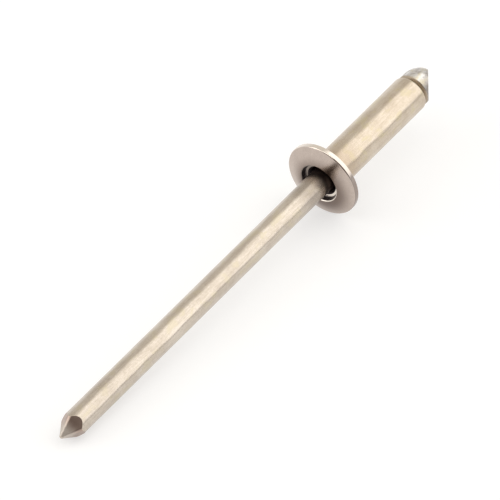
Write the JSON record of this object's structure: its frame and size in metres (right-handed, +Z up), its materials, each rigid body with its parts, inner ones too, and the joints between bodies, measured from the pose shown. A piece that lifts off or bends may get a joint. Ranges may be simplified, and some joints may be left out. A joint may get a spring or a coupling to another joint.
{
  "type": "blind rivet",
  "caption": "Open-end blind rivet with a domed flange, unset, on a headed pull mandrel with a pinched point, lying as it comes to rest.",
  "frame": {"origin": "centre of the part's box in plan, at the surface that it lies on", "axes": "+X along the rivet towards the mandrel head, its axis rising 3.87 degrees from the surface, +Z up"},
  "size_m": [0.05, 0.0068, 0.0067],
  "materials": {
    "body_steel": "bright stainless steel, cold headed, smooth and slightly warm in tone",
    "mandrel_steel": "bright drawn stainless wire, with faint lengthwise drawing lines"
  },
  "bodies": {
    "root": {"rivet_body": "body_steel", "mandrel": "mandrel_steel"}
  },
  "joints": []
}
